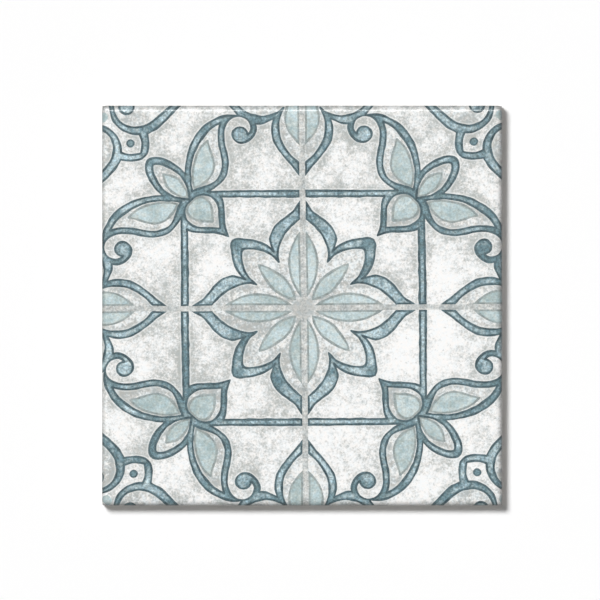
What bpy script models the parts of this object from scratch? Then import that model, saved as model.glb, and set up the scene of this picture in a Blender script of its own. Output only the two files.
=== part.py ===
"""A square ceramic wall tile, pressed and fired in one piece.

It lies on its back with the glazed face up: +Z leaves the glazed face, +Y is the top of the
printed pattern, and the origin is the middle of the back. Sizes are in metres.
"""

import math

import bmesh
import bpy
from mathutils import Vector

MM = 0.001

# The tile as it is sold
TILE_WIDTH = 152.4 * MM  # both sides of the square face
TILE_THICKNESS = 6.35 * MM  # back of the ribs to the glazed face

# Edges
CUSHION_RADIUS = 1.5 * MM  # rounded edge all round the glazed face
PLAN_CORNER_RADIUS = 0.6 * MM  # the four upright corners, seen from above
BACK_TAPER_INSET = 0.5 * MM  # how far the pressed sides draw in at the back
BACK_TAPER_HEIGHT = 1.6 * MM  # height of that draw-in
CUSHION_STEPS = 8
PLAN_CORNER_STEPS = 4

# Keyed back: a grid of shallow pockets with ribs between them, for the adhesive
POCKETS_PER_SIDE = 8  # even, so that two ribs cross in the middle of the back
RIM_WIDTH = 7.0 * MM  # plain border round the pockets
RIB_WIDTH = 3.0 * MM  # measured on the back, between two pockets
POCKET_DEPTH = 0.7 * MM
POCKET_DRAFT = 0.35 * MM  # how much each pocket wall leans in from mouth to floor
POCKET_CORNER_RADIUS = 1.8 * MM
POCKET_CORNER_STEPS = 2
CUTTER_OVERSHOOT = 1.0 * MM  # the pocket cutter starts this far below the back

CERAMIC_COLOUR = (0.80, 0.82, 0.81, 1.0)
CERAMIC_ROUGHNESS = 0.22


def clear_scene():
    for old in list(bpy.data.objects):
        bpy.data.objects.remove(old)


def rounded_square(half_width, corner_radius, steps):
    """Corners of a square outline with round corners, anticlockwise, about the origin."""
    radius = min(corner_radius, half_width)
    centre = half_width - radius
    outline = []
    for quarter in range(4):
        middle_angle = math.radians(45 + 90 * quarter)
        centre_x = math.copysign(centre, math.cos(middle_angle))
        centre_y = math.copysign(centre, math.sin(middle_angle))
        for step in range(steps + 1):
            angle = math.radians(90 * (quarter + step / steps))
            outline.append(
                (centre_x + radius * math.cos(angle), centre_y + radius * math.sin(angle))
            )
    return outline


def loft(bm, rings):
    """Closed skin through rings of (outline, height), lowest first. Each outline is anticlockwise."""
    loops = [[bm.verts.new((x, y, height)) for x, y in outline] for outline, height in rings]
    for lower, upper in zip(loops, loops[1:]):
        count = len(lower)
        for i in range(count):
            j = (i + 1) % count
            bm.faces.new((lower[i], lower[j], upper[j], upper[i]))
    bm.faces.new(reversed(loops[0]))
    bm.faces.new(loops[-1])


def add_object(name, bm):
    mesh = bpy.data.meshes.new(name)
    bm.to_mesh(mesh)
    bm.free()
    made = bpy.data.objects.new(name, mesh)
    bpy.context.scene.collection.objects.link(made)
    return made


def body_rings():
    """Outline and height at each level of the body: tapered back, upright side, cushion edge."""
    half = TILE_WIDTH / 2
    levels = [(BACK_TAPER_INSET, 0.0), (0.0, BACK_TAPER_HEIGHT)]
    for step in range(CUSHION_STEPS + 1):
        angle = math.radians(90 * step / CUSHION_STEPS)
        inset = CUSHION_RADIUS * (1 - math.cos(angle))
        height = TILE_THICKNESS - CUSHION_RADIUS * (1 - math.sin(angle))
        levels.append((inset, height))
    return [
        (rounded_square(half - inset, PLAN_CORNER_RADIUS, PLAN_CORNER_STEPS), height)
        for inset, height in levels
    ]


def make_body():
    bm = bmesh.new()
    loft(bm, body_rings())
    return add_object("tile", bm)


def pocket_centres(pitch):
    middle = (POCKETS_PER_SIDE - 1) / 2
    for row in range(POCKETS_PER_SIDE):
        for column in range(POCKETS_PER_SIDE):
            yield Vector(((column - middle) * pitch, (row - middle) * pitch))


def make_pocket_cutter():
    """All the pockets as one cutter: a drafted recess with round corners at each crossing."""
    keyed_width = TILE_WIDTH - 2 * RIM_WIDTH
    pitch = (keyed_width + RIB_WIDTH) / POCKETS_PER_SIDE
    mouth_half = (pitch - RIB_WIDTH) / 2
    mouth = rounded_square(mouth_half, POCKET_CORNER_RADIUS, POCKET_CORNER_STEPS)
    floor = rounded_square(
        mouth_half - POCKET_DRAFT, POCKET_CORNER_RADIUS - POCKET_DRAFT, POCKET_CORNER_STEPS
    )
    bm = bmesh.new()
    for centre in pocket_centres(pitch):
        rings = [(mouth, -CUTTER_OVERSHOOT), (mouth, 0.0), (floor, POCKET_DEPTH)]
        loft(
            bm,
            [([(centre.x + x, centre.y + y) for x, y in ring], height) for ring, height in rings],
        )
    cutter = add_object("pocket_cutter", bm)
    cutter.hide_render = True
    cutter.display_type = "WIRE"
    return cutter


def cut_pockets(body, cutter):
    pockets = body.modifiers.new("Keyed back", "BOOLEAN")
    pockets.operation = "DIFFERENCE"
    pockets.object = cutter


def ceramic_material():
    material = bpy.data.materials.new("glazed ceramic")
    material.use_nodes = True
    shader = material.node_tree.nodes["Principled BSDF"]
    shader.inputs["Base Color"].default_value = CERAMIC_COLOUR
    shader.inputs["Roughness"].default_value = CERAMIC_ROUGHNESS
    shader.inputs["Metallic"].default_value = 0.0
    return material


def main():
    clear_scene()
    tile = make_body()
    tile.data.materials.append(ceramic_material())
    tile.data.shade_smooth()
    tile.data.set_sharp_from_angle(angle=math.radians(30))
    cut_pockets(tile, make_pocket_cutter())


main()
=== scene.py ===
import math
import random

import bmesh
import bpy
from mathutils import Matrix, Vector, noise
from mathutils.geometry import delaunay_2d_cdt
from mathutils.kdtree import KDTree


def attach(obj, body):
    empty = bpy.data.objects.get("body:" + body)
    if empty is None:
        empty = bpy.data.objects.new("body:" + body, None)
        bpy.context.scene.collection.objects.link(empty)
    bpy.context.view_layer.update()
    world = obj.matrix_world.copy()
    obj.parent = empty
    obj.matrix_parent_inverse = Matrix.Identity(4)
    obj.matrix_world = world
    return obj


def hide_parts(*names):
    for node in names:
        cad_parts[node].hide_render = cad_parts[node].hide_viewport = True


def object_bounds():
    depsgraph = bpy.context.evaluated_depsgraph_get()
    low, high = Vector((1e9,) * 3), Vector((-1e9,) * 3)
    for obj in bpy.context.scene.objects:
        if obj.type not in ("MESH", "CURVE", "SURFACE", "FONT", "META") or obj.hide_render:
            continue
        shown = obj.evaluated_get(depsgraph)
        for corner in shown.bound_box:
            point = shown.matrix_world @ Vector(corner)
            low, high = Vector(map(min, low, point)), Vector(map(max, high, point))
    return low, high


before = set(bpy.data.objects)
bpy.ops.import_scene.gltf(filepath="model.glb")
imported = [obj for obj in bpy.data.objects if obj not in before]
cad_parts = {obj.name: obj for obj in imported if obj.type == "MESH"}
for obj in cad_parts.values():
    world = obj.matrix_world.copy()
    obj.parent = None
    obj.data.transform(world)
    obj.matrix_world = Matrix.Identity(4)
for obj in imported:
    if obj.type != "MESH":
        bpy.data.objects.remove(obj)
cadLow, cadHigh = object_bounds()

print("frame loaded:", [round(side * 1000, 2) for side in cadHigh - cadLow], "mm")

# Everything about the tile is drawn in millimetres and made metres at the very end.
mm = 0.001
tileWidth = (cadHigh.x - cadLow.x) / mm
tileThickness = (cadHigh.z - cadLow.z) / mm
noise.seed_set(1)  # the hand's drift would follow the clock otherwise

# The printed ornament. It is drawn once, in the eighth of the face between the upright axis
# and the diagonal, and Geometry Nodes mirrors it round the middle.
ornament = {
    "strokeWidth": 0.79,
    "leafStrokeWidth": 0.88,
    "strokeSway": (2.6, 0.30),  # wavelength and share by which a line swells and thins
    "groutHalf": 1.08,  # the pale strip between the four printed quarters
    "closingWidth": 0.72,  # line that closes a band or a leaf beside that strip
    "reach": 82.0,  # how far the drawing runs past the middle, before trimming
    "sampleStep": 0.95,  # between points along a stroke
    "fineStep": 0.25,  # between the points that distances to a stroke are measured from
    "rows": (0.60, 1.15),  # rows of points beside each stroke carry the pooled colour
    "rowClearance": 0.85,  # share of its distance that a row keeps from every other stroke
    "rowMargin": 0.48,  # how far the rows stay inside the drawn eighth
    "gridStep": 1.75,
    "gridJitter": 0.2,
    "gridMargin": 0.5,
    "gridClearance": 0.7,
    "roundSides": {"end": 8, "dot": 20},
    "relief": 0.02,  # how far the strokes stand up from the ground
    "bandRelief": 0.010,
    "snap": 0.006,  # points nearer than this become one
    "mergeDistance": 0.002,
    # how the drawing lies on the tile
    "shift": (0.68, -0.84),
    "turn": math.radians(0.45),
    "lean": -0.002,
    "acrossScale": 0.9975,
    "upScale": 0.960,
    "handSway": ((24.0, 0.22), (6.0, 0.12), (2.6, 0.07)),  # wavelength and size of the hand's drift
}

# Dark outlines, as points that smooth curves pass through. A point written twice is a corner,
# and an end on the diagonal runs on smoothly into its mirror image unless it is a corner.
strokes = {
    "axisPetalOuter": [(-1, 44.6), (1.3, 41.8), (3.1, 38.9), (6, 36.3), (9.2, 33.8), (11.8, 30.5),
        (12.7, 27.4), (12.2, 24.9), (11.3, 22.3)],
    "axisPetalInner": [(-1, 36.6), (2.1, 34.6), (4.6, 32.3), (6.9, 29.5), (8.6, 26.2), (9.6, 23),
        (9.8, 20.4), (9.3, 18.1)],
    "diagonalPetalOuter": [(11.3, 22.3), (13, 24), (15.6, 25.6), (19, 26.8), (22.6, 27.3), (25.6, 27.4),
        (26.9, 26.9)],
    "diagonalPetalInner": [(9.3, 18.1), (11.1, 20.2), (13.6, 22), (16.8, 23.2), (20.4, 23.6), (22.3, 23.6),
        (23.2, 23.2)],
    "frameUpper": [(-1, 46.5), (20, 46.4), (36.3, 46.3)],
    "frameLower": [(-1, 44.2), (31.3, 44.2)],
    "leafBack": [(36.3, 46.3), (33.9, 47.9), (31.6, 49.7), (29.7, 51.9), (28.7, 55), (28.5, 58.6),
        (29.2, 62.6), (29.9, 66.6), (29.9, 70), (29.2, 72.8), (27.9, 74.8), (26.2, 75.9), (24.2, 76.2)],
    "curl": [(24.2, 76.2), (22.2, 75.7), (20.5, 74.4), (19.6, 72.7), (19.4, 71), (19.9, 69.8), (20.9, 68.9),
        (20.9, 68.9), (21.1, 69.9), (21.7, 70.9), (22.6, 71.6), (23.8, 71.8), (25.2, 71.4), (26.2, 70.4),
        (26.6, 69), (26.3, 67.5), (25.2, 66.2), (23.5, 65.6), (21.7, 65.9), (20.1, 66.9), (18.7, 68.4),
        (17.9, 70.1), (17.6, 71.8), (17.8, 73.1)],
    "leafFront": [(24.2, 76.2), (26.8, 76.5), (29.4, 76.3), (32.6, 75.3), (35.8, 73.5), (38.8, 71),
        (41.2, 67.7), (42.9, 64.2), (44, 60.4), (44.6, 57), (44.9, 53.4)],
    "leafFieldBack": [(31.1, 73.6), (31.7, 71), (32, 67.6), (31.4, 63.2), (30.7, 59), (30.7, 55.2),
        (32, 51.9), (34.3, 49.7), (37.3, 48.4), (40.2, 47.4), (42.3, 46.5)],
    "leafFieldFront": [(31.1, 73.6), (33.8, 72.2), (36.7, 69.5), (39, 66.4), (40.9, 63), (42.2, 59.5),
        (42.9, 55.5), (42.8, 51), (42.3, 46.5)],
    "heartOuter": [(31.3, 44.2), (30.5, 42.4), (30.1, 39.6), (30, 36), (29.9, 33), (29.4, 31), (28.5, 28.5),
        (28.5, 28.5)],
    "heartInner": [(31.6, 31.6), (31.6, 31.6), (31.7, 34.6), (31.8, 38), (32.3, 41), (33.7, 43.2),
        (35.9, 44.8), (38.4, 45.2), (40.8, 44.5), (42.8, 42.8)],
    "cornerLeafOuter": [(44.9, 53.4), (47.2, 55.7), (50, 57.7), (53.2, 59.2), (56.4, 59.8), (58.8, 58.8)],
    "cornerLeafInner": [(43.2, 43.2), (43.2, 43.2), (43.7, 46.6), (44.6, 49.6), (46.3, 52.3), (48.8, 54.6),
        (51.8, 56.3), (55, 57.3), (57, 57)],
    "budOuter": [(-1, 50.4), (1.3, 53.2), (4.4, 57.2), (7.2, 60.4), (9.6, 63.8), (11.2, 67.2), (11.6, 70.2),
        (11.4, 72.8), (10.9, 75.1)],
    "budInner": [(-1, 54.9), (1.3, 57.5), (4.3, 60.5), (6.6, 63.5), (8.2, 66.6), (8.9, 69.8), (9, 72.8),
        (8.6, 75.4), (7.9, 77.6), (7, 79.4)],
    "linkUpper": [(7, 79.4), (9.5, 77.5), (12.6, 76.4), (15.6, 76.1), (18.6, 76.6), (21.2, 77.6),
        (23.4, 79.3), (25, 82)],
    "linkLower": [(10.9, 75.1), (12.3, 74.5), (14.3, 73.5), (16.2, 73.1), (17.8, 73.1)],
    "spur": [(24.2, 76.2), (25.2, 77.7), (26.8, 79.4), (28.7, 82)],
    "arcInner": [(46.5, 83.5), (50, 80.4), (53.3, 77.5), (56.6, 74.6), (60, 72.6), (63.7, 72), (67.3, 72.8),
        (70.1, 75), (71.6, 77.9), (72, 82.5)],
    "arcOuterLeft": [(44.5, 82.6), (49.3, 77.8), (52.4, 74.3), (55.6, 71.4), (59.1, 69.3)],
    "arcOuterRight": [(62.1, 69.3), (65.5, 69.6), (68.7, 71.1), (71.2, 73.5), (72.7, 76.6), (73.4, 82.5)],
    "loopOuter": [(59.1, 69.3), (58.7, 66.6), (58.8, 63.8), (59.4, 61.4), (60.3, 60.3)],
    "loopInner": [(62.1, 69.3), (61.3, 67), (61.1, 64.6), (61.3, 62.8), (61.6, 61.6)],
}

# Pale leaves inside the petals, with a soft grey outline.
leaves = {
    "axisLeaf": [(-0.6, 31.4), (2.8, 27), (4.5, 23.2), (5.4, 18.2), (4.9, 13.2), (3.4, 8.8), (0, 3.6)],
    "diagonalLeaf": [(3.4, 3.4), (3.4, 3.4), (3.9, 5.7), (5.2, 8.7), (7.4, 11.6), (10.6, 14), (13.7, 15.9),
        (15.7, 16.8), (16.9, 16.9)],
    "sideLeaf": [(36.2, 66.6), (35.3, 63.2), (34.1, 59.4), (33.8, 55.9), (35, 52.6), (37.7, 49.8),
        (41.4, 47.8), (41.4, 47.8), (42.1, 51.2), (41.9, 55.2), (41, 59.3), (39.1, 63.5), (36.2, 66.6)],
    "heartLeaf": [(34.3, 34.3), (34.3, 34.3), (34.4, 37.4), (34.9, 40.5), (36.3, 42.9), (38.6, 44.2),
        (40.8, 43.7), (42.3, 42.3)],
    "cornerLeaf": [(43.7, 43.7), (43.7, 43.7), (44.3, 46.4), (45.6, 48.8), (47.1, 50.8), (49.1, 52.2),
        (51.2, 52.9), (53.2, 53.2), (53.2, 53.2)],
    "budLeaf": [(-0.6, 63.3), (1.8, 66), (4.1, 68.6), (5.8, 71.8), (6.5, 75.2), (6.1, 78.3), (4.9, 82)],
}

# A leaf whose outline stops at the edge of the drawing is closed through these points.
leafClosings = {"budLeaf": [(4.9, 84), (-1, 84)]}

# Middle and radius of each painted dot, and the colour it is filled with.
dots = {"loopDot": (65.6, 65.6, 1.3, "band"), "arcDot": (66.9, 80.2, 2.8, "band"),
        "cornerDot": (75.7, 76.2, 1.7, "leaf")}

# Where bands run together the colour is deeper: middle and radius of each place.
joints = [(38.3, 46.4, 5.2), (10.4, 75.2, 2.8), (29.2, 73.4, 3.4), (19.2, 71.5, 3.0),
          (37.6, 71.3, 3.2), (45.0, 52.4, 2.6), (25.5, 25.5, 3.4), (58.2, 58.2, 2.8),
          (30.8, 35.0, 3.6), (0.0, 0.0, 5.6), (65.6, 65.6, 2.2)]

# What fills the spaces, from the bottom layer up. A name is a stroke, a minus sign walks it
# backwards, and a pair of numbers is a plain corner.
fills = [
    ("band", ["axisPetalOuter", "diagonalPetalOuter", (0, 0)]),
    ("band", ["frameUpper", (44.2, 46.3), (44.2, 44.2), "-frameLower"]),
    ("band", ["leafBack", "leafFront", (44.3, 44.3)]),
    ("band", ["budOuter", "-budInner"]),
    ("band", ["linkUpper", "-spur", "curl", "-linkLower"]),
    ("band", ["heartOuter", (44.5, 44.5), (38, 46)]),
    ("band", ["cornerLeafOuter", (43.2, 43.2), (42.3, 46.5)]),
    ("band", ["arcInner", "-arcOuterRight", "loopInner", "-loopOuter", "-arcOuterLeft"]),
    ("field", ["budInner", "linkUpper", (25, 84), (-1, 84)]),
    ("field", ["arcInner", (71.8, 84), (46.5, 84)]),
    ("field", ["axisPetalInner", "diagonalPetalInner", (0, 0)]),
    ("field", ["leafFieldBack", "-leafFieldFront"]),
    ("field", ["heartInner"]),
    ("field", ["cornerLeafInner"]),
]

# Lines that close the bands and the leaves beside the grout strip, from one height to another.
closingLines = [("stroke", 35.5, 41.9), ("stroke", 44.2, 46.5), ("stroke", 53.2, 57.5),
                ("leafStroke", 5.9, 29), ("leafStroke", 65.5, 84)]

regionNames = ["ground", "band", "stroke", "leaf", "leafStroke", "field", "grout"]


def mirrorImage(point, end):
    # where a point of a curve that ends on the diagonal lands beyond it
    return (point[1], point[0]) if end[0] == end[1] else None


def splitAtCorners(points):
    runs = [[points[0]]]
    for point in points[1:]:
        if point == runs[-1][-1]:
            runs.append([point])
        else:
            runs[-1].append(point)
    startsSmooth = len(runs[0]) > 1
    endsSmooth = len(runs[-1]) > 1
    return [run for run in runs if len(run) > 1], startsSmooth, endsSmooth


def curveThrough(run, before, after, step):
    # a smooth curve through the points; their spacing sets how hard it turns at each
    points = [Vector(point) for point in (before, *run, after) if point]
    gaps = [(b - a).length for a, b in zip(points, points[1:])]
    slopes = [(b - a) / gap for a, b, gap in zip(points, points[1:], gaps)]
    tangents = [slopes[0]]
    for i in range(1, len(points) - 1):
        tangents.append((gaps[i] * slopes[i - 1] + gaps[i - 1] * slopes[i]) / (gaps[i - 1] + gaps[i]))
    tangents.append(slopes[-1])
    if len(points) > 2:
        tangents[0] = 1.5 * slopes[0] - 0.5 * tangents[1]
        tangents[-1] = 1.5 * slopes[-1] - 0.5 * tangents[-2]
    first = 1 if before else 0
    last = len(points) - (2 if after else 1)
    samples = []
    for i in range(first, last):
        count = max(1, round(gaps[i] / step))
        for k in range(count):
            t = k / count
            samples.append(points[i] * (2 * t**3 - 3 * t**2 + 1) + points[i + 1] * (3 * t**2 - 2 * t**3)
                           + tangents[i] * gaps[i] * (t**3 - 2 * t**2 + t)
                           + tangents[i + 1] * gaps[i] * (t**3 - t**2))
    samples.append(points[last])
    return samples


def smoothRuns(points, step):
    # one list of samples for each stretch between corners
    runs, startsSmooth, endsSmooth = splitAtCorners(points)
    smooth = []
    for n, run in enumerate(runs):
        before = mirrorImage(run[1], run[0]) if n == 0 and startsSmooth else None
        after = mirrorImage(run[-2], run[-1]) if n == len(runs) - 1 and endsSmooth else None
        smooth.append((curveThrough(run, before, after, step), bool(before), bool(after)))
    return smooth


def curveSamples(step):
    # every stroke and leaf outline as smooth runs, by name
    return {name: smoothRuns(points, step) for name, points in {**strokes, **leaves}.items()}


def signedArea(points):
    return sum(a.x * b.y - b.x * a.y for a, b in zip(points, points[1:] + points[:1])) / 2


def addPatch(sheet, points, region):
    points = [Vector(point) for point in points]
    if signedArea(points) < 0:
        points.reverse()
    first = len(sheet["points"])
    sheet["points"].extend(points)
    sheet["faces"].append(list(range(first, first + len(points))))
    sheet["regions"].append(region)


def roundPoints(centre, radius, sides):
    turns = [math.tau * k / sides for k in range(sides)]
    return [Vector((centre[0] + radius * math.cos(a), centre[1] + radius * math.sin(a))) for a in turns]


def acrossAt(samples, i):
    along = (samples[min(i + 1, len(samples) - 1)] - samples[max(i - 1, 0)]).normalized()
    return Vector((-along.y, along.x))


def addRibbon(sheet, samples, half, region):
    # a painted line: short quads either side of the curve, each sharing its end with the next
    first = len(sheet["points"])
    wavelength, share = ornament["strokeSway"]
    for i, point in enumerate(samples):
        swell = noise.noise(Vector((point.x / wavelength, point.y / wavelength, 2.5)))
        across = acrossAt(samples, i) * half * (1 + 2 * share * swell)
        sheet["points"].extend((point - across, point + across))
    for i in range(len(samples) - 1):
        k = first + 2 * i
        sheet["faces"].append([k, k + 2, k + 3, k + 1])
        sheet["regions"].append(region)


def inkLine(sheet, runs, half, region):
    # runs past a mirror line by half its width, and is rounded off at an open end
    for samples, startsOnMirror, endsOnMirror in runs:
        line = list(samples)
        if startsOnMirror:
            line.insert(0, line[0] + (line[0] - line[1]).normalized() * half)
        if endsOnMirror:
            line.append(line[-1] + (line[-1] - line[-2]).normalized() * half)
        addRibbon(sheet, line, half, region)
        for end, smooth in ((samples[0], startsOnMirror), (samples[-1], endsOnMirror)):
            if not smooth:
                addPatch(sheet, roundPoints(end, half, ornament["roundSides"]["end"]), region)


def tracePath(parts, curves):
    path = []
    for part in parts:
        if isinstance(part, tuple):
            path.append(Vector(part))
            continue
        samples = [point for run in curves[part.strip("-")] for point in run[0]]
        path.extend(reversed(samples) if part.startswith("-") else samples)
    steps = zip(path, path[-1:] + path[:-1])
    return [point for point, before in steps if (point - before).length > 0.001]


def gapTree(curves, names):
    points = [point for name in names for run in curves[name] for point in run[0]]
    tree = KDTree(len(points))
    for i, point in enumerate(points):
        tree.insert((point.x, point.y, 0.0), i)
    tree.balance()
    return tree


def gapTo(tree, point):
    return tree.find((point[0], point[1], 0.0))[2]


def insideOctant(point, margin, reach):
    return point[0] > margin and point[1] - point[0] > margin * math.sqrt(2) and point[1] < reach - margin


def addRows(sheet, samples, nearest, look):
    # rows of points that follow a stroke on both sides, the outer row half as dense
    for i, middle in enumerate(samples):
        for n, distance in enumerate(look["rows"]):
            if n and i % 2:
                continue
            for side in (-1, 1):
                point = middle + acrossAt(samples, i) * distance * side
                clear = gapTo(nearest, point) > distance * look["rowClearance"]
                if clear and insideOctant(point, look["rowMargin"], look["reach"]):
                    sheet["points"].append(point)


def addGrid(sheet, nearest, look):
    # a jittered triangular grid of points in the open ground
    rng = random.Random(11)
    clearance = look["rows"][-1] + look["gridClearance"]
    step, jitter, reach = look["gridStep"], look["gridJitter"], look["reach"]
    rowHeight = 0.866
    for row in range(int(reach / (step * rowHeight)) + 1):
        for column in range(int(reach / step) + 1):
            x = (column + 0.5 * (row % 2)) * step + rng.uniform(-jitter, jitter) * step
            y = row * step * rowHeight + rng.uniform(-jitter, jitter) * step
            if insideOctant((x, y), look["gridMargin"], reach) and gapTo(nearest, (x, y)) > clearance:
                sheet["points"].append(Vector((x, y)))


def jointDepth(point):
    # how deep a point lies inside one of the joints, 0 outside and 1 in its middle
    return max(0.0, *[1 - math.dist(point, joint[:2]) / joint[2] for joint in joints])


def onMirrorLine(point, near):
    # a point beside the upright axis or the diagonal is put right on it
    x, y = point
    if abs(y - x) < near:
        x = y = (x + y) / 2
    return (0.0, y) if abs(x) < near else (x, y)


def onOneLine(corners):
    return all(x == 0.0 for x, y in corners) or all(x == y for x, y in corners)


def drawOctant(look):
    # patches and painted lines are laid over each other, and the topmost gives each triangle its print
    curves = curveSamples(look["sampleStep"])
    reach = look["reach"]
    sheet = {"points": [], "faces": [], "regions": []}
    addPatch(sheet, [(0, 0), (reach, reach), (0, reach)], "ground")
    for region, parts in fills:
        addPatch(sheet, tracePath(parts, curves), region)
    for name in leaves:
        addPatch(sheet, tracePath([name, *leafClosings.get(name, [])], curves), "leaf")
    rounds = [(roundPoints(dot[:2], dot[2], look["roundSides"]["dot"]), dot[3]) for dot in dots.values()]
    for ring, region in rounds:
        addPatch(sheet, ring, region)
    for name in leaves:
        inkLine(sheet, curves[name], look["leafStrokeWidth"] / 2, "leafStroke")
    for name in strokes:
        inkLine(sheet, curves[name], look["strokeWidth"] / 2, "stroke")
    for ring, region in rounds:
        if region == "band":
            addRibbon(sheet, ring + ring[:1], look["strokeWidth"] / 2, "stroke")
    grout = look["groutHalf"]
    closed = grout + look["closingWidth"]
    for region, low, high in closingLines:
        addPatch(sheet, [(grout, low), (closed, low), (closed, high), (grout, high)], region)
    addPatch(sheet, [(-1.5, -2.0), (grout, -2.0), (grout, reach + 1), (-1.5, reach + 1)], "grout")

    fine = curveSamples(look["fineStep"])
    gaps = {"strokeGap": gapTree(fine, strokes), "leafGap": gapTree(fine, leaves)}
    nearestAny = gapTree(fine, [*strokes, *leaves])
    for runs in curves.values():
        for samples, _, _ in runs:
            addRows(sheet, samples, nearestAny, look)
    addGrid(sheet, nearestAny, look)

    drawn = delaunay_2d_cdt(sheet["points"], [], sheet["faces"], 0, look["snap"], True)
    points, _, faces, _, _, sources = drawn
    points = [onMirrorLine(point, 2 * look["snap"]) for point in points]
    inside = [(face, max(source)) for face, source in zip(faces, sources)
              if 0 in source and not onOneLine([points[i] for i in face])]
    regions = [regionNames.index(sheet["regions"][top]) for _, top in inside]
    used = sorted({i for face, _ in inside for i in face})
    place = {old: new for new, old in enumerate(used)}
    mesh = bpy.data.meshes.new("octant")
    mesh.from_pydata([(*points[i], 0.0) for i in used], [], [[place[i] for i in face] for face, _ in inside])
    mesh.materials.append(bpy.data.materials[regionNames[0]])

    heights = {"stroke": look["relief"], "band": look["bandRelief"], "leafStroke": look["bandRelief"]}
    touching = [[] for _ in used]
    for (face, _), region in zip(inside, regions):
        for i in face:
            touching[place[i]].append(heights.get(regionNames[region], 0.0))
    storeValues(mesh, "region", "INT", "FACE", regions)
    storeValues(mesh, "relief", "FLOAT", "POINT", [sum(near) / len(near) for near in touching])
    for name, tree in gaps.items():
        storeValues(mesh, name, "FLOAT", "POINT", [gapTo(tree, points[i]) for i in used])
    storeValues(mesh, "jointDepth", "FLOAT", "POINT", [jointDepth(points[i]) for i in used])
    return mesh


def storeValues(mesh, name, kind, domain, values):
    mesh.attributes.new(name, kind, domain).data.foreach_set("value", values)


def newObject(name, mesh):
    made = bpy.data.objects.new(name, mesh)
    bpy.context.scene.collection.objects.link(made)
    return made


class TreeMaker:
    # adds and links the nodes of one tree, laid out from left to right

    def __init__(self, tree):
        self.tree = tree
        self.column = 0

    def add(self, kind, inputs=(), **settings):
        node = self.tree.nodes.new(kind)
        node.location = (self.column * 180, 0)
        self.column += 1
        for name, value in settings.items():
            setattr(node, name, value)
        for socket, value in dict(inputs).items():
            self.join(value, node.inputs[socket])
        return node

    def math(self, operation, first, second):
        return self.add("ShaderNodeMath", {0: first, 1: second}, operation=operation)

    def join(self, value, socket):
        # a node stands for its first output
        if isinstance(value, bpy.types.Node):
            value = value.outputs[0]
        if isinstance(value, bpy.types.NodeSocket):
            self.tree.links.new(value, socket)
        else:
            socket.default_value = value


def newMaterial(name):
    material = bpy.data.materials.new(name)
    material.use_nodes = True
    return TreeMaker(material.node_tree), material.node_tree.nodes["Principled BSDF"]


def geometryTree(name, inputs):
    # takes and gives geometry; its other inputs are named with their kinds
    tree = bpy.data.node_groups.new(name, "GeometryNodeTree")
    tree.interface.new_socket("Geometry", in_out="OUTPUT", socket_type="NodeSocketGeometry")
    for label, kind in {"Geometry": "Geometry", **inputs}.items():
        tree.interface.new_socket(label, in_out="INPUT", socket_type="NodeSocket" + kind)
    return tree


def mirrorTree():
    # the octant, its twin across the diagonal, then both halves mirrored across each axis
    tree = geometryTree("mirror round the middle", {"Relief": "Float", "Merge Distance": "Float",
                                                    **dict.fromkeys(regionNames, "Material")})
    make = TreeMaker(tree)
    given = make.add("NodeGroupInput").outputs
    relief = make.add("GeometryNodeInputNamedAttribute", {"Name": "relief"}, data_type="FLOAT")
    up = make.add("ShaderNodeCombineXYZ", {"Z": make.math("MULTIPLY", relief, given["Relief"])})
    shape = make.add("GeometryNodeSetPosition", {"Geometry": given["Geometry"], "Offset": up})
    for turn, scale in ((90, (1, -1, 1)), (0, (-1, 1, 1)), (0, (1, -1, 1))):
        moved = make.add("GeometryNodeTransform", {"Geometry": shape, "Scale": scale,
                                                   "Rotation": (0, 0, math.radians(turn))})
        turned = make.add("GeometryNodeFlipFaces", {"Mesh": moved})
        joined = make.add("GeometryNodeJoinGeometry")
        make.join(shape, joined.inputs[0])
        make.join(turned, joined.inputs[0])
        shape = joined
    shape = make.add("GeometryNodeMergeByDistance", {"Geometry": shape, "Distance": given["Merge Distance"]})
    shape = make.add("GeometryNodeRealizeInstances", {"Geometry": shape})
    region = make.add("GeometryNodeInputNamedAttribute", {"Name": "region"}, data_type="INT")
    for k, name in enumerate(regionNames):
        chosen = make.add("FunctionNodeCompare", {2: region, 3: k}, data_type="INT", operation="EQUAL")
        shape = make.add("GeometryNodeSetMaterial", {"Geometry": shape, "Selection": chosen,
                                                     "Material": given[name]})
    make.add("NodeGroupOutput", {"Geometry": shape})
    return tree


def pocketTree():
    # one cell of the keyed back, on every point of a square grid
    tree = geometryTree("keyed back", {"Cells": "Int", "Pitch": "Float", "Merge Distance": "Float",
                                       "Clay": "Material"})
    make = TreeMaker(tree)
    given = make.add("NodeGroupInput").outputs
    cells = given["Cells"]
    span = make.math("MULTIPLY", make.math("SUBTRACT", cells, 1.0), given["Pitch"])
    grid = make.add("GeometryNodeMeshGrid", {"Size X": span, "Size Y": span, "Vertices X": cells,
                                             "Vertices Y": cells})
    laid = make.add("GeometryNodeInstanceOnPoints", {"Points": grid, "Instance": given["Geometry"]})
    real = make.add("GeometryNodeRealizeInstances", {"Geometry": laid})
    merged = make.add("GeometryNodeMergeByDistance", {"Geometry": real, "Distance": given["Merge Distance"]})
    clay = make.add("GeometryNodeSetMaterial", {"Geometry": merged, "Material": given["Clay"]})
    make.add("NodeGroupOutput", {"Geometry": clay})
    return tree


def meshFromTree(name, mesh, tree, values):
    source = newObject(name, mesh)
    modifier = source.modifiers.new(name, "NODES")
    modifier.node_group = tree
    for socket in tree.interface.items_tree:
        if socket.in_out == "INPUT" and socket.name in values:
            modifier[socket.identifier] = values[socket.name]
    graph = bpy.context.evaluated_depsgraph_get()
    made = bpy.data.meshes.new_from_object(source.evaluated_get(graph), preserve_all_data_layers=True,
                                           depsgraph=graph)
    bpy.data.objects.remove(source)
    return made


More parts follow.
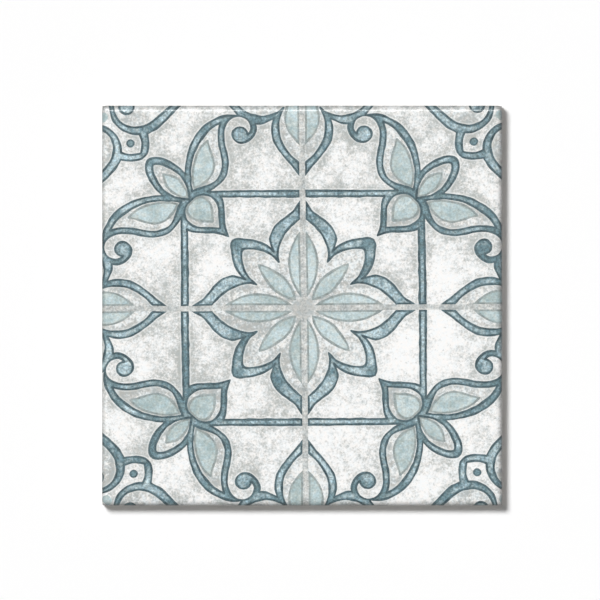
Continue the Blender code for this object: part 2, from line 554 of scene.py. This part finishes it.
# The pressed body, in the sizes of the CAD model. Only the fall over the edge is wider than there.
body = {
    "cushionDrop": 1.5,
    "cushionWidth": 2.5,
    "cushionCuts": 7,
    "planCornerShare": 0.25,  # how far the square plan corners are drawn toward round ones
    "printLap": 0.35,  # the print laps this far down the sides
    "glazeEdge": 3.1,  # mean height at which the glaze stops on the sides
    "glazeWave": 0.45,
    "glazeWander": ((0.09, 1.0, 3.0), (0.6, 0.25, 9.0)),  # turns per mm, share and noise layer
    "glazeThickness": 0.08,
    "glazeLip": ((0.30, 0.0), (0.08, 0.125), (0.0, 0.6), (-0.02, 1.0)),  # height, share of coat gone
    "taperHeight": 1.6,
    "taperInset": 0.5,
    "backRound": 0.25,  # rounded arris round the back
    "backProfile": ((0.3, 0.1), (0.0, 0.6)),  # its rows: height and inset as shares of the round
    "cells": 8,
    "rimWidth": 7.0,
    "ribWidth": 3.0,
    "pocketDepth": 0.7,
    "pocketDraft": 0.35,
    "pocketCorner": 1.8,
    "pocketLip": 0.22,
    "cellSteps": 7,  # points along one side of a cell
    "cornerSteps": 2,  # and from the middle of a round corner to its end
    "sliceSnap": 0.01,
    "wallSnap": 0.004,
    "plainGap": 5.0,  # the sides are this far from any stroke
}


def handDrift(x, y, look):
    # the slow and quick wander of a hand-drawn line, the same for lines that lie together
    drift = Vector((0.0, 0.0, 0.0))
    for n, (wavelength, size) in enumerate(look["handSway"]):
        drift += noise.noise_vector(Vector((x / wavelength, y / wavelength, 7.3 * n))) * size
    return drift


def layOnTile(point, look):
    # the drawing's own frame to the tile's: a slight turn, squeeze, lean and shift, as printed
    drift = handDrift(point[0], point[1], look)
    x = point[0] * look["acrossScale"] + drift.x
    y = point[1] * look["upScale"] + drift.y
    turn, lean = look["turn"], look["lean"]
    return (x * math.cos(turn) - y * math.sin(turn) + lean * y + look["shift"][0],
            x * math.sin(turn) + y * math.cos(turn) + lean * x + look["shift"][1])


def sliceAt(bm, geometry, axis, distance, clear):
    # cuts along an upright plane; `clear` drops what lies outside it
    outward = Vector((axis == 0, axis == 1, 0)) * math.copysign(1, distance)
    return bmesh.ops.bisect_plane(bm, geom=geometry, dist=body["sliceSnap"], plane_no=outward,
                                  plane_co=outward * abs(distance), clear_outer=clear)["geom"]


def trimAndSlice(bm, size):
    # cuts the face to the tile's square, and into strips where it will roll over the edge
    half = tileWidth / 2
    width, snap = size["cushionWidth"], size["sliceSnap"]
    flat = half - width
    count = size["cushionCuts"]
    cuts = [flat + width * math.sin(math.pi / 2 * k / count) for k in range(count)]
    sides = [(axis, side) for axis in (0, 1) for side in (-1, 1)]
    for axis, side in sides:
        sliceAt(bm, bm.verts[:] + bm.edges[:] + bm.faces[:], axis, side * half, True)
    for axis, side in sides:
        near = [face for face in bm.faces if max(side * v.co[axis] for v in face.verts) > flat - snap]
        geometry = list(dict.fromkeys(part for face in near for part in [face, *face.verts, *face.edges]))
        for cut in cuts:
            geometry = sliceAt(bm, geometry, axis, side * cut, False)
    for vert in bm.verts:
        for axis in (0, 1):
            for line in (*cuts, half):
                if abs(abs(vert.co[axis]) - line) < 1.1 * snap:
                    vert.co[axis] = math.copysign(line, vert.co[axis])


def roundOver(bm, size, flatX, flatY):
    # rolls the outermost band of the face over the cushion edge and rounds the plan corners
    width, fall = size["cushionWidth"], size["cushionDrop"]
    flat = tileWidth / 2 - width
    for vert in bm.verts:
        past = [max(abs(vert.co[axis]) - flat, 0.0) for axis in (0, 1)]
        for axis, layer in ((0, flatX), (1, flatY)):
            rolled = width * math.asin(min(past[axis] / width, 1.0))
            vert[layer] = math.copysign(min(abs(vert.co[axis]), flat) + rolled, vert.co[axis])
        reach = max(past)
        if reach == 0:
            vert.co.z += tileThickness
            continue
        shrink = 1 + size["planCornerShare"] * (reach / math.hypot(*past) - 1)
        for axis in (0, 1):
            if past[axis]:
                vert.co[axis] = math.copysign(flat + past[axis] * shrink, vert.co[axis])
        drop = fall * (1 - math.sqrt(max(1 - (reach / width) ** 2, 0.0)))
        vert.co.z = tileThickness - drop + vert.co.z * (1 - reach / width)


def borderInOrder(bm):
    # the open edge of the face, walked anticlockwise, with the print beside each step
    following = {}
    for edge in bm.edges:
        if len(edge.link_loops) == 1:
            loop = edge.link_loops[0]
            following[loop.vert] = (loop.link_loop_next.vert, loop.face.material_index)
    vert = next(iter(following))
    border, prints = [], []
    for _ in range(len(following)):
        border.append(vert)
        vert, region = following[vert]
        prints.append(region)
    return border, prints


def outwardAt(point, size):
    # plan direction out of the side wall, square to it except at the corners
    width = size["cushionWidth"]
    flat = tileWidth / 2 - width
    out = Vector([math.copysign(max(abs(value) - flat, 0.0), value) for value in point[:2]])
    outermost, straight = 0.999 * width, 0.75 * width
    for axis in (0, 1):
        if abs(out[axis]) > outermost and abs(out[1 - axis]) < straight:
            out[1 - axis] = 0
    return out.normalized()


def glazeLine(point, size):
    wander = [share * noise.noise(Vector((point[0], point[1], layer)) * turns)
              for turns, share, layer in size["glazeWander"]]
    return size["glazeEdge"] + size["glazeWave"] * sum(wander)


def sideLevels(point, size):
    # height, inset and finish of each row of the side below one point of the rounded edge
    top = tileThickness - size["cushionDrop"]
    stop = glazeLine(point, size)
    coat = size["glazeThickness"]
    drawn = size["taperInset"]
    arris = size["backRound"]
    slant = coat + (drawn - coat) * (1 - arris / size["taperHeight"])
    return [(top - size["printLap"], 0.0, "print"),
            *[(stop + above, coat * share, "glaze") for above, share in size["glazeLip"]],
            (size["taperHeight"], coat, "clay"), (arris, slant, "clay"),
            *[(arris * up, drawn + arris * inward, "clay") for up, inward in size["backProfile"]]]


def wallDown(bm, size, slots, strokeGap, patch):
    border, prints = borderInOrder(bm)
    rows = [border]
    outs = [outwardAt(vert.co, size) for vert in border]
    levels = [sideLevels(vert.co, size) for vert in border]
    for row in range(len(levels[0])):
        made = []
        for vert, out, level in zip(border, outs, levels):
            height, inset, _ = level[row]
            spot = vert.co.xy - out * inset
            if made and made[-1].co.xy.cross(spot) <= 0:
                spot = made[-1].co.xy  # never walks backwards round the tile
            new = bm.verts.new((*spot, height), vert)
            if row:
                new[strokeGap] = size["plainGap"]
            made.append(new)
        rows.append(made)
    count = len(border)
    for row in range(1, len(rows)):
        finish = levels[0][row - 1][2]
        for i in range(count):
            j = (i + 1) % count
            face = bm.faces.new((rows[row - 1][j], rows[row - 1][i], rows[row][i], rows[row][j]))
            face.material_index = prints[i] if finish == "print" else slots[finish]
            out = outs[i]
            face[patch] = (1 if out.x > 0 else 2) if abs(out.x) > abs(out.y) else (3 if out.y > 0 else 4)
    for row in rows[1:]:
        bmesh.ops.remove_doubles(bm, verts=row, dist=size["wallSnap"])
    return [vert for vert in rows[-1] if vert.is_valid]


def fourTurns(points):
    # a quarter of a ring and its three turned copies
    ring = []
    for _ in range(4):
        ring += points
        points = [Vector((-point.y, point.x)) for point in points]
    return ring


def roundedRing(half, corner, along, arc):
    # a square with round corners, from the middle of one corner
    flat = half - corner
    quarter = []
    for k in range(along):
        if k <= arc:
            angle = math.radians(45 + 45 * k / arc)
            point = Vector((flat + corner * math.cos(angle), flat + corner * math.sin(angle)))
        elif k < along - arc:
            point = Vector((flat - 2 * flat * (k - arc) / (along - 2 * arc), half))
        else:
            angle = math.radians(135 - 45 * (along - k) / arc)
            point = Vector((-flat + corner * math.cos(angle), flat + corner * math.sin(angle)))
        quarter.append(point)
    return fourTurns(quarter)


def pocketCell(size, pitch):
    # a square of the back with one pocket in it, ring by ring from the outline to the pocket's floor
    mouth = (pitch - size["ribWidth"]) / 2
    depth, lip = size["pocketDepth"], size["pocketLip"]
    floor = mouth - size["pocketDraft"]
    along = size["cellSteps"]
    cell = pitch / 2
    rings = [(fourTurns([Vector((cell - 2 * cell * k / along, cell)) for k in range(along)]), 0.0)]
    for half, height in ((mouth + lip, 0.0), (mouth + lip * 0.3, lip * 0.25), (mouth - lip * 0.3, lip),
                         (floor + lip * 0.3, depth - lip), (floor - lip * 0.4, depth - lip * 0.2),
                         (floor - lip * 1.6, depth)):
        corner = size["pocketCorner"] + half - mouth
        rings.append((roundedRing(half, corner, along, size["cornerSteps"]), height))
    bm = bmesh.new()
    loops = [[bm.verts.new((point.x, point.y, height)) for point in ring] for ring, height in rings]
    for outer, inner in zip(loops, loops[1:]):
        for i in range(len(outer)):
            j = (i + 1) % len(outer)
            bm.faces.new((outer[j], outer[i], inner[i], inner[j]))
    bm.faces.new(list(reversed(loops[-1])))
    mesh = bpy.data.meshes.new("pocket cell")
    bm.to_mesh(mesh)
    bm.free()
    return mesh


def angleOf(vert):
    return math.atan2(vert.co.y, vert.co.x)


def zipRings(bm, outer, inner):
    # triangles facing down between two rings round the middle, both walked anticlockwise
    rings, steps = [], []
    for which, ring in enumerate((outer, inner)):
        first = min(range(len(ring)), key=lambda k: angleOf(ring[k]))
        ring = ring[first:] + ring[:first]
        rings.append(ring)
        steps.extend((angleOf(vert), which, k) for k, vert in enumerate(ring) if k)
        steps.append((angleOf(ring[0]) + math.tau, which, 0))
    at = [rings[0][0], rings[1][0]]
    faces = []
    for _, which, k in sorted(steps):
        vert = rings[which][k]
        faces.append(bm.faces.new((at[1], vert, at[0])))
        at[which] = vert
    return faces


def closeBack(bm, bottom, size, clay, patch):
    keyed = tileWidth - 2 * size["rimWidth"]
    pitch = (keyed + size["ribWidth"]) / size["cells"]
    grid = meshFromTree("keyedBack", pocketCell(size, pitch), pocketTree(),
                        {"Cells": size["cells"], "Pitch": pitch, "Merge Distance": 0.002,
                         "Clay": bpy.data.materials["bareClay"]})
    vertsBefore, facesBefore = set(bm.verts), set(bm.faces)
    bm.from_mesh(grid)
    backFaces = [face for face in bm.faces if face not in facesBefore]
    side = pitch * size["cells"] / 2 - size["sliceSnap"]
    added = [vert for vert in bm.verts if vert not in vertsBefore]
    rim = [vert for vert in added if max(abs(vert.co.x), abs(vert.co.y)) > side]
    backFaces += zipRings(bm, bottom, sorted(rim, key=angleOf))
    for face in backFaces:
        face.material_index = clay
        face[patch] = 5 if face.calc_center_median().x < 0 else 6


# The map that baking uses, in shares of its width: the face large, the four sides above it and the
# back beside them in two halves.
bakeMap = {
    "margin": 0.005,
    "faceWidth": 0.80,
    "sidesFrom": 0.825,
    "sidePitch": 0.042,
    "backFrom": (0.815, 0.01),
    "backPitch": 0.40,
    "backScale": 0.45,  # against the scale of the face
    "backLap": 4.0,  # room left of the middle in the second half
}


def unwrap(bm, patch, flatX, flatY, look):
    layer = bm.loops.layers.uv.new("OFBake")
    half = tileWidth / 2
    width = body["cushionWidth"]
    unrolled = half - width + width * math.pi / 2
    scale = look["faceWidth"] / (2 * unrolled)
    backScale = scale * look["backScale"]
    margin = look["margin"]
    left, low = look["backFrom"]
    for face in bm.faces:
        kind = face[patch]
        for loop in face.loops:
            vert = loop.vert
            if kind == 0:
                place = [margin + (flat + unrolled) * scale for flat in (vert[flatX], vert[flatY])]
            elif kind < 5:
                along = vert.co.y if kind < 3 else vert.co.x
                upward = look["sidesFrom"] + look["sidePitch"] * (kind - 1)
                place = (margin + (along + half) * scale, upward + vert.co.z * scale)
            else:
                across = vert.co.x + (half if kind == 5 else look["backLap"])
                upward = low + look["backPitch"] * (kind - 5)
                place = (left + across * backScale, upward + (vert.co.y + half) * backScale)
            loop[layer].uv = place


def buildTile():
    octant = drawOctant(ornament)
    print("ornament drawn:", len(octant.polygons), "triangles in the octant")
    materials = {name: bpy.data.materials[name] for name in regionNames}
    values = {"Relief": 1.0, "Merge Distance": ornament["mergeDistance"], **materials}
    printed = meshFromTree("printedFace", octant, mirrorTree(), values)
    bm = bmesh.new()
    bm.from_mesh(printed)
    patch = bm.faces.layers.int.new("patch")
    flatX = bm.verts.layers.float.new("flatX")
    flatY = bm.verts.layers.float.new("flatY")
    slotNames = [material.name for material in printed.materials]
    for vert in bm.verts:
        vert.co.xy = layOnTile(vert.co, ornament)
    trimAndSlice(bm, body)
    strokeGap = bm.verts.layers.float["strokeGap"]
    roundOver(bm, body, flatX, flatY)
    print("face trimmed and rolled over the cushion:", len(bm.faces), "faces")
    slots = {"glaze": slotNames.index("ground"), "clay": len(slotNames)}
    bottom = wallDown(bm, body, slots, strokeGap, patch)
    closeBack(bm, bottom, body, slots["clay"], patch)
    openEdges = [edge for edge in bm.edges if not edge.is_manifold]
    print("closed:", len(bm.faces), "faces,", len(openEdges), "open edges")
    unwrap(bm, patch, flatX, flatY, bakeMap)
    bmesh.ops.scale(bm, vec=(mm, mm, mm), verts=bm.verts)
    mesh = bpy.data.meshes.new("glazedTile")
    bm.to_mesh(mesh)
    bm.free()
    for name in [*slotNames, "bareClay"]:
        mesh.materials.append(bpy.data.materials[name])
    mesh.shade_smooth()
    mesh.set_sharp_from_angle(angle=math.radians(50))
    return newObject("glazedTile", mesh)


def paint(levels):
    # red, green and blue of 0 to 255 as linear light
    linear = [(c / 255 / 12.92) if c <= 10 else ((c / 255 + 0.055) / 1.055) ** 2.4 for c in levels]
    return (*linear, 1.0)


# Finishes. Colours run from 0 to 255 and sizes of the mottling are in millimetres. Clouds drift
# between pale and deep, the grain breaks them up, the pool is the colour that gathers beside a stroke
# over the given reach, and the joint is the colour where bands run together.
finishes = {
    "band": {"pale": (189, 209, 215), "deep": (98, 126, 134),
        "clouds": ((16.0, 1.4), (3.0, 0.75), (1.5, 0.55)), "grain": 0.9, "grainDepth": 0.42,
        "pool": (84, 112, 119), "gap": "strokeGap", "reach": (0.35, 0.85), "share": 0.7,
        "joint": (106, 134, 141), "jointShare": 0.85, "hue": 0.8, "roughness": 0.22},
    "stroke": {"pale": (92, 115, 121), "deep": (38, 62, 69), "clouds": ((5.0, 1.0), (1.6, 0.8)),
        "grain": 0.8, "grainDepth": 0.28, "pool": (56, 80, 87), "gap": "strokeGap", "reach": (0.0, 0.35),
        "share": 0.4, "joint": (80, 106, 112), "jointShare": 0.4, "hue": 0.5, "roughness": 0.22},
    "leaf": {"pale": (206, 220, 221), "deep": (165, 183, 183),
        "clouds": ((12.0, 1.3), (2.5, 0.8), (1.2, 0.6)), "grain": 0.8, "grainDepth": 0.16,
        "pool": (164, 178, 175), "gap": "leafGap", "reach": (0.25, 0.8), "share": 0.6,
        "joint": (170, 184, 182), "jointShare": 0.3, "hue": 0.7, "roughness": 0.24},
    "leafStroke": {"pale": (170, 180, 179), "deep": (130, 141, 140), "clouds": ((4.0, 1.0), (1.5, 0.8)),
        "grain": 0.8, "grainDepth": 0.18, "pool": (143, 153, 152), "gap": "leafGap", "reach": (0.0, 0.3),
        "share": 0.4, "joint": (140, 150, 148), "jointShare": 0.3, "hue": 0.5, "roughness": 0.24},
    "grout": {"pale": (220, 222, 219), "deep": (162, 167, 166), "clouds": ((6.0, 1.1), (1.6, 0.9)),
        "grain": 0.8, "grainDepth": 0.16, "pool": (180, 184, 183), "gap": "strokeGap", "reach": (0.2, 1.0),
        "share": 0.3, "joint": (182, 184, 181), "jointShare": 0.7, "hue": 0.4, "roughness": 0.28},
    "bareClay": {"pale": (230, 225, 214), "deep": (212, 205, 192), "clouds": ((9.0, 1.0), (1.5, 0.6)),
        "grain": 0.5, "grainDepth": 0.06, "pool": (212, 205, 192), "gap": "strokeGap", "reach": (0.0, 0.1),
        "share": 0.0, "joint": (212, 205, 192), "jointShare": 0.0, "hue": 0.2, "roughness": 0.85},
}

# The worn white: a grey wash with a brighter white over it, which thins out toward the strokes
# and breaks up into speckles.
wornWhites = {
    "ground": {"wash": (179, 183, 180), "white": (250, 250, 249), "speck": (178, 180, 178), "startAt": 0.6,
        "fullAt": 4.2, "gapWeight": 0.46, "bias": 0.45, "slope": (0.8, -2.8),
        "clouds": ((34.0, 0.95), (8.0, 0.8), (2.4, 0.82), (1.3, 0.62)), "grain": 0.8, "grainDepth": 0.68,
        "motes": (1.5, 0.39, 0.30, 0.6), "rim": (236, 238, 237), "rimReach": (0.5, 1.2), "rimShare": 0.65,
        "jointShare": 0.0, "hue": 0.30, "roughness": 0.26},
    "field": {"wash": (177, 181, 179), "white": (242, 244, 243), "speck": (176, 178, 176), "startAt": 0.5,
        "fullAt": 3.2, "gapWeight": 0.36, "bias": 0.24, "slope": (0.0, 0.0),
        "clouds": ((20.0, 1.0), (6.0, 0.9), (2.6, 1.0), (1.3, 0.6)), "grain": 0.8, "grainDepth": 0.75,
        "motes": (1.5, 0.39, 0.30, 0.5), "rim": (224, 228, 226), "rimReach": (0.5, 1.2), "rimShare": 0.6,
        "jointShare": 0.8, "hue": 0.5, "roughness": 0.26},
}

# The colour wanders a little between warm and cool, each finish by its own share of this.
hueDrift = {"size": 1.7, "warm": (1.075, 1.0, 0.945, 1.0), "cool": (0.925, 1.0, 1.055, 1.0)}

# The glaze's orange peel, and how far its gloss varies.
peel = {"strength": 0.3, "depth": 0.01, "glossSpread": 0.05}

# Painted shade on the rolled edge: the colour is darker toward the outside, and clears again down the side.
# Each side has its axis and sign, how far in the painted shade starts and how dark it ends; it is deepest at
# the top, then the left. The corners get painted shade too.
paintedShadeAtEdges = {"sides": ((0, -1, 1.6, 0.54), (0, 1, 1.6, 0.58), (1, -1, 1.6, 0.58), (1, 1, 2.0, 0.48)),
            "to": 0.1, "cornerReach": 6.0, "cornerShade": 0.78, "sideClearsAt": 3.9}

noiseSpan = (0.35, 0.65)  # nearly all values of a noise lie within this
coverSpan = (-0.35, 1.1)  # from no white to full white
jointFull = 0.55  # depth in a joint at which its colour is full


def noiseOf(make, place, size, roughness=0.6, detail=2.0):
    return make.add("ShaderNodeTexNoise", {"Vector": place, "Scale": 1 / (size * mm), "Detail": detail,
                                           "Roughness": roughness}).outputs["Fac"]


def storedAs(make, name):
    return make.add("ShaderNodeAttribute", attribute_name=name).outputs["Fac"]


def ranged(make, value, low, high, toLow=0.0, toHigh=1.0, soft=False):
    node = make.add("ShaderNodeMapRange", {"Value": value, "From Min": low, "From Max": high,
                                           "To Min": toLow, "To Max": toHigh})
    node.interpolation_type = "SMOOTHSTEP" if soft else "LINEAR"
    return node.outputs[0]


def blend(make, share, first, second):
    # three plain numbers are a colour of 0 to 255
    first, second = [paint(c) if isinstance(c, tuple) and len(c) == 3 else c for c in (first, second)]
    return make.add("ShaderNodeMix", {"Factor": share, 6: first, 7: second}, data_type="RGBA").outputs[2]


def multiplied(make, colour, by):
    return make.add("ShaderNodeVectorMath", {0: colour, 1: by}, operation="MULTIPLY").outputs[0]


def jointShare(make, full):
    return ranged(make, storedAs(make, "jointDepth"), 0.0, jointFull, 0.0, full, True)


def driftOf(make, place, clouds, start):
    # noises of falling size, each swinging the sum to either side by its weight
    drift = start
    for size, weight in clouds:
        swing = make.math("SUBTRACT", noiseOf(make, place, size), 0.5)
        drift = make.math("ADD", make.math("MULTIPLY", swing, 2 * weight), drift)
    return drift


def paintedShadeOfEdge(make, place):
    # painted shade: darker toward the outside of the rolled edge, most at the top and left, and in the
    # corners
    axes = make.add("ShaderNodeSeparateXYZ", {0: place}).outputs
    half = tileWidth / 2
    cornerwise = make.math("ADD", *[make.math("ABSOLUTE", axes[axis], 0.0) for axis in (0, 1)])
    shade = ranged(make, cornerwise, (tileWidth - paintedShadeAtEdges["cornerReach"]) * mm, tileWidth * mm,
                   1.0, paintedShadeAtEdges["cornerShade"])
    for axis, side, start, darkest in paintedShadeAtEdges["sides"]:
        reach = make.math("MULTIPLY", axes[axis], side)
        rolled = ranged(make, reach, (half - start) * mm, (half - paintedShadeAtEdges["to"]) * mm, 1.0, darkest)
        shade = make.math("MULTIPLY", rolled, shade)
    edgeFoot = tileThickness - body["cushionDrop"]
    upper = ranged(make, axes[2], paintedShadeAtEdges["sideClearsAt"] * mm, edgeFoot * mm)
    return ranged(make, upper, 0.0, 1.0, 1.0, shade)


def paintedColour(make, place, grain, look):
    washed = blend(make, driftOf(make, place, look["clouds"], 0.5), look["deep"], look["pale"])
    washed = blend(make, jointShare(make, look["jointShare"]), washed, look["joint"])
    gap = storedAs(make, look["gap"])
    pooled = blend(make, ranged(make, gap, *look["reach"], look["share"], 0.0, True), washed, look["pool"])
    speck = ranged(make, grain, *noiseSpan, 1 - look["grainDepth"], 1 + look["grainDepth"])
    return multiplied(make, pooled, speck)


def wornWhite(make, place, grain, look):
    gap = storedAs(make, "strokeGap")
    start = look["bias"] - look["gapWeight"] / 2
    cover = ranged(make, gap, look["startAt"], look["fullAt"], start, start + look["gapWeight"])
    cover = driftOf(make, place, look["clouds"], cover)
    aside = make.add("ShaderNodeVectorMath", {0: place, 1: (*look["slope"], 0.0)}, operation="DOT_PRODUCT")
    cover = make.math("ADD", cover, aside.outputs["Value"])
    half = look["grainDepth"] / 2
    broken = make.math("ADD", cover, ranged(make, grain, *noiseSpan, -half, half))
    white = blend(make, ranged(make, broken, *coverSpan, 0.0, 1.0, True), look["wash"], look["white"])
    size, clear, full, share = look["motes"]
    motes = ranged(make, noiseOf(make, place, size, 0.7, 3.0), clear, full, 0.0, share)
    specked = blend(make, motes, white, look["speck"])
    rim = ranged(make, gap, *look["rimReach"], look["rimShare"], 0.0, True)
    rimmed = blend(make, rim, specked, look["rim"])
    return blend(make, jointShare(make, look["jointShare"]), rimmed, look["wash"])


def mixFinish(name, look, colourBy):
    # the fired surface: colour, a slightly uneven gloss and a very fine orange peel
    make, shader = newMaterial(name)
    place = make.add("ShaderNodeTexCoord").outputs["Object"]
    grain = noiseOf(make, place, look["grain"], 0.8)
    colour = colourBy(make, place, grain, look)
    wander = ranged(make, noiseOf(make, place, hueDrift["size"]), *noiseSpan)
    tinted = multiplied(make, colour, blend(make, wander, hueDrift["cool"], hueDrift["warm"]))
    tinted = blend(make, look["hue"], colour, tinted)
    rough, spread = look["roughness"], peel["glossSpread"]
    bump = make.add("ShaderNodeBump", {"Height": grain, "Strength": peel["strength"],
                                       "Distance": peel["depth"] * mm})
    # the rolled edge and the corners get painted shade in the base colour
    make.join(multiplied(make, tinted, paintedShadeOfEdge(make, place)), shader.inputs["Base Color"])
    make.join(ranged(make, grain, 0.0, 1.0, rough - spread, rough + spread), shader.inputs["Roughness"])
    make.join(bump, shader.inputs["Normal"])


for finish, look in finishes.items():
    mixFinish(finish, look, paintedColour)
for finish, look in wornWhites.items():
    mixFinish(finish, look, wornWhite)
print("finishes mixed:", ", ".join([*finishes, *wornWhites]))

tile = buildTile()
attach(tile, "root")
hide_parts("tile")

# The photographer's table: a white sheet, a lamp high at the upper left, a long narrow one that only
# shows as a glint on the glaze, and soft light all round.
studio = {
    "sheetSize": 4.0,
    "sheetDrop": 0.00003,
    "sheetWhite": 0.95,
    "sheetGlow": 0.05,  # seen by the camera alone
    "lampFrom": (-0.415, 0.420, 0.829),
    "lampDistance": 0.8,
    "lampStrength": 3.28,
    "lampAngle": 20.0,
    "fill": 0.143,
    "stripFrom": (0.0, 0.36, 0.907),
    "stripSize": (1.6, 0.11),
    "stripPower": 10.5,
    "frameWidth": 0.2286,
    "cameraPlace": (-0.00078, 0.0021, 0.6),
}
fullWhite = (1.0, 1.0, 1.0, 1.0)


def layWhiteSheet(look):
    half = look["sheetSize"] / 2
    mesh = bpy.data.meshes.new("whiteSheet")
    corners = [(-half, -half), (half, -half), (half, half), (-half, half)]
    mesh.from_pydata([(x, y, -look["sheetDrop"]) for x, y in corners], [], [(0, 1, 2, 3)])
    sheet = newObject("whiteSheet", mesh)
    make, shader = newMaterial("whiteSheet")
    seen = make.add("ShaderNodeLightPath").outputs["Is Camera Ray"]
    white = look["sheetWhite"]
    glow = make.math("MULTIPLY", seen, look["sheetGlow"])
    finish = {"Base Color": (white, white, white, 1.0), "Roughness": 1.0, "Specular IOR Level": 0.0,
              "Emission Color": fullWhite, "Emission Strength": glow}
    for name, value in finish.items():
        make.join(value, shader.inputs[name])
    mesh.materials.append(bpy.data.materials["whiteSheet"])


def hangLamp(name, kind, way, distance, **settings):
    # a lamp shines back along the way it is hung
    lamp = bpy.data.lights.new(name, kind)
    for setting, value in settings.items():
        setattr(lamp, setting, value)
    holder = newObject(name, lamp)
    holder.location = Vector(way) * distance
    holder.rotation_euler = Vector(way).to_track_quat("Z", "Y").to_euler()
    return holder


def hangLamps(look):
    hangLamp("highLamp", "SUN", look["lampFrom"], look["lampDistance"], energy=look["lampStrength"],
             angle=math.radians(look["lampAngle"]))
    long, narrow = look["stripSize"]
    strip = hangLamp("stripLamp", "AREA", look["stripFrom"], 1.0, shape="RECTANGLE", size=long,
                     size_y=narrow, energy=look["stripPower"])
    strip.visible_camera = False
    strip.visible_diffuse = False


def fillRoom(look):
    # soft light on what is matt, plain white for the camera and in the gloss
    world = bpy.data.worlds.new("softRoom")
    bpy.context.scene.world = world
    world.use_nodes = True
    nodes = world.node_tree.nodes
    make = TreeMaker(world.node_tree)
    soft = nodes["Background"]
    make.join(fullWhite, soft.inputs["Color"])
    make.join(look["fill"], soft.inputs["Strength"])
    white = make.add("ShaderNodeBackground", {"Color": fullWhite, "Strength": 1.0})
    ray = make.add("ShaderNodeLightPath").outputs
    seen = make.math("MAXIMUM", ray["Is Camera Ray"], ray["Is Glossy Ray"])
    make.join(make.add("ShaderNodeMixShader", {0: seen, 1: soft, 2: white}), nodes["World Output"].inputs[0])


def setCamera(look):
    camera = bpy.data.cameras.new("overhead")
    camera.type = "ORTHO"
    camera.ortho_scale = look["frameWidth"]
    holder = newObject("overhead", camera)
    holder.location = look["cameraPlace"]
    bpy.context.scene.camera = holder


layWhiteSheet(studio)
hangLamps(studio)
fillRoom(studio)
setCamera(studio)
bpy.context.scene.view_settings.view_transform = "Standard"
print("studio set")
